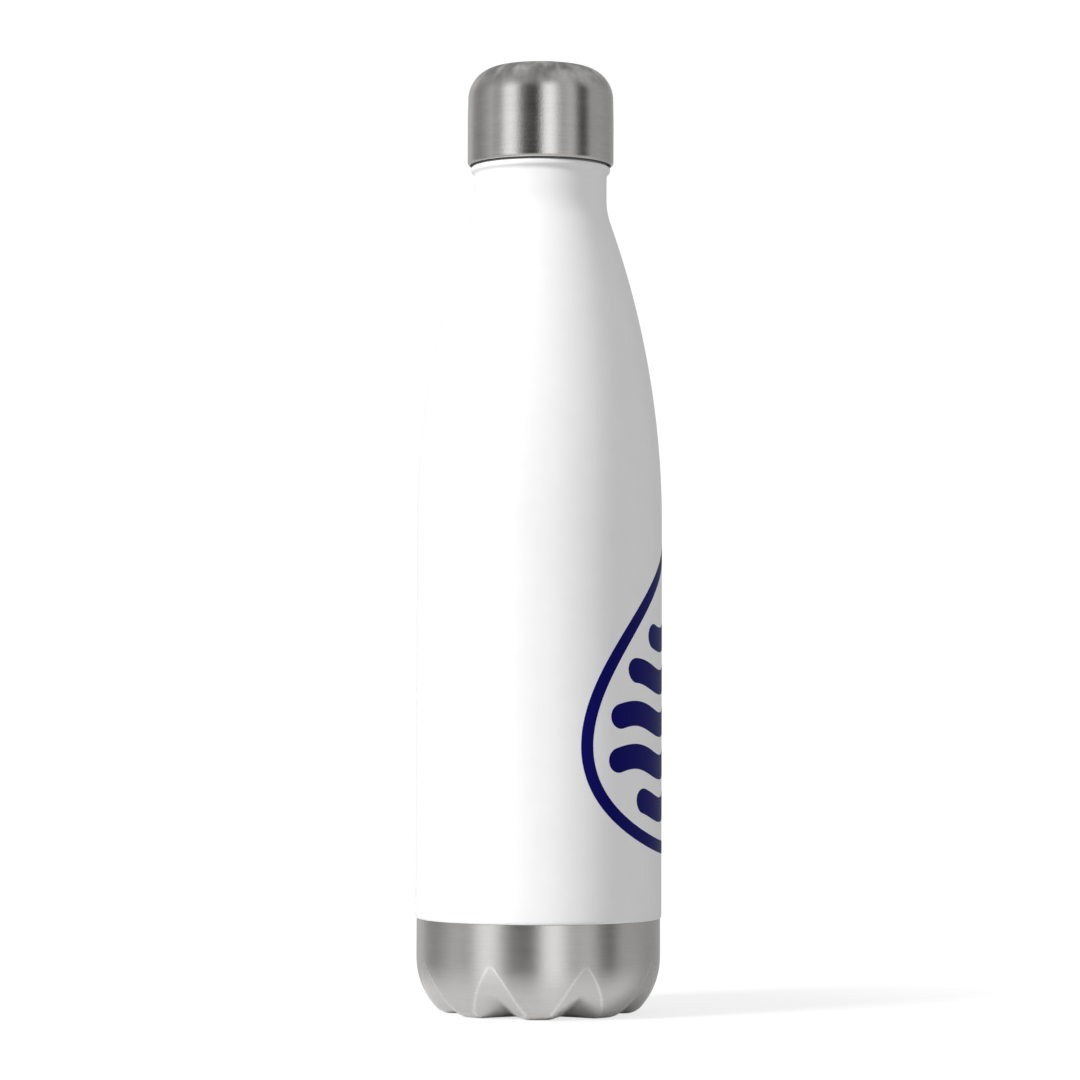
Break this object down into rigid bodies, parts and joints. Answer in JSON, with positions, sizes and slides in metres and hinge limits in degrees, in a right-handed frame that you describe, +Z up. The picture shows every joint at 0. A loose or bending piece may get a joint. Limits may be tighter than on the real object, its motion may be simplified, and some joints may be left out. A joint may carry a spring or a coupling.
{
  "type": "insulated water bottle",
  "caption": "Double-wall steel water bottle with a tapered shoulder, narrow neck, fluted bare-metal base and a domed screw cap.",
  "frame": {"origin": "centre of the base, on the surface the bottle stands on", "axes": "+Z up along the bottle's axis towards the cap; +X through the middle of the side print"},
  "size_m": [0.073, 0.073, 0.2827],
  "materials": {
    "white_coat": "semi-gloss white powder coat",
    "brushed_steel": "fine brushing round the axis",
    "liner_steel": "electropolished satin",
    "copper": "bright copper foil",
    "getter": "pressed grey powder",
    "solder_glass": "fused dark solder glass",
    "silicone": "matt translucent white silicone",
    "black_plastic": "fine satin moulded polypropylene",
    "foam": "closed-cell white foam",
    "navy_print": "satin dark blue print on the white coat"
  },
  "bodies": {
    "bottle": {"outer_shell": "white_coat", "base_cup": "brushed_steel", "inner_vessel": "liner_steel", "inner_bottom": "liner_steel", "copper_foil": "copper", "getter_clip": "liner_steel", "getter_pellet": "getter", "vacuum_seal": "solder_glass", "base_disc": "brushed_steel"},
    "seal": {"seal_ring": "silicone"},
    "cap": {"cap_shell": "brushed_steel", "plug_body": "black_plastic", "foam_core": "foam"}
  },
  "joints": [
    {"name": "cap_lift", "type": "slide", "parent": "bottle", "child": "seal", "axis": [0, 0, 1], "range_m": [0, 0.0316]},
    {"name": "cap_turn", "type": "hinge", "parent": "seal", "child": "cap", "pos_m": [0, 0, 0.252], "axis": [0, 0, 1], "range_deg": [0, 2520]}
  ],
  "couplings": [
    {"joint": "cap_lift", "follows": "cap_turn", "m_per_rad": 0.0007162}
  ]
}
